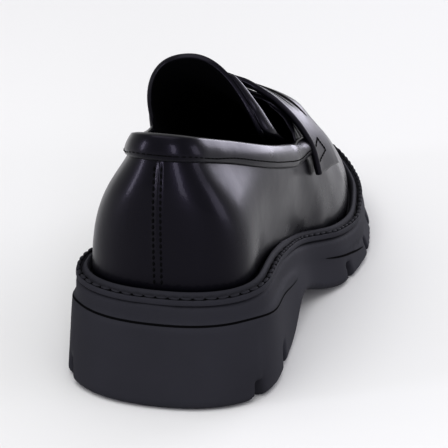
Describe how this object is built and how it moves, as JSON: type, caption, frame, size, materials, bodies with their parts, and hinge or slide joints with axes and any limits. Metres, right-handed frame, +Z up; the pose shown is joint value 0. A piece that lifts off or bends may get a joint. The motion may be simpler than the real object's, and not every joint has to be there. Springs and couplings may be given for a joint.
{
  "type": "chunky lug sole loafer",
  "caption": "Right slip-on loafer with a penny strap, an arched tongue and a padded collar, on a thick block-heeled rubber lug sole; hollow inside.",
  "frame": {"origin": "on the ground, at the middle of the box around the shoe", "axes": "+Y towards the toe, +X towards the outer (lateral) side of this right shoe, +Z up"},
  "size_m": [0.1036, 0.27, 0.1183],
  "materials": {
    "sole_rubber": "matte moulded black rubber",
    "box_leather": "high-shine black box leather",
    "trim_leather": "glossy black leather",
    "lining": "matte black lining"
  },
  "bodies": {
    "root": {"outsole": "sole_rubber", "welt": "sole_rubber", "upper": "box_leather", "collar": "trim_leather", "strap": "trim_leather", "tongue": "trim_leather", "insole": "lining"}
  },
  "joints": []
}
